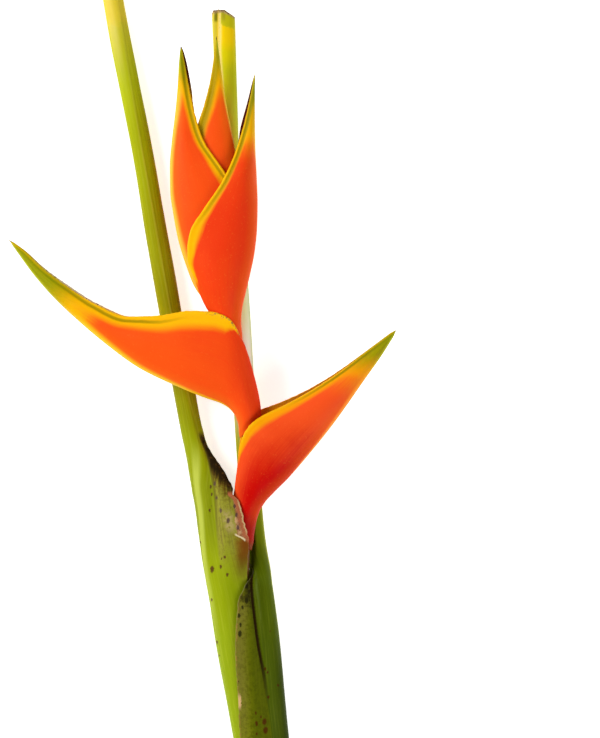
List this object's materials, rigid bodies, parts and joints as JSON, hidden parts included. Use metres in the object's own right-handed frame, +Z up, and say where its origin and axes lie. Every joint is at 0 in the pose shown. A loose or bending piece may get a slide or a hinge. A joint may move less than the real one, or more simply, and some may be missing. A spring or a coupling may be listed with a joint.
{
  "type": "heliconia flower",
  "caption": "Cut heliconia flower head with orange and yellow boat-shaped bracts on a red zigzag stalk, held by green leaf sheaths and bare leaf stalks, lying on its back.",
  "frame": {"origin": "on the surface that the flower lies on, under the middle of its whole outline", "axes": "+Y runs along the stem from its cut end to the tips of the top bracts, +X is to the right seen from above with +Y away, +Z is up out of the surface"},
  "size_m": [0.2316, 0.5299, 0.0378],
  "materials": {
    "leaf_stalk_left": "satin, waxy green plant stem",
    "leaf_stalk_right": "satin, waxy green plant stem with a dry edge",
    "flower_stalk": "satin, fleshy red plant stem",
    "bract_red": "waxy, smooth fleshy bract",
    "bract_orange": "waxy, smooth fleshy bract"
  },
  "bodies": {
    "root": {"left_leaf_stalk": "leaf_stalk_left", "right_leaf_stalk": "leaf_stalk_right", "flower_stalk": "flower_stalk", "bract_1": "bract_red", "bract_2": "bract_orange", "bract_3": "bract_orange", "bract_4": "bract_orange", "bract_5": "bract_orange"}
  },
  "joints": []
}
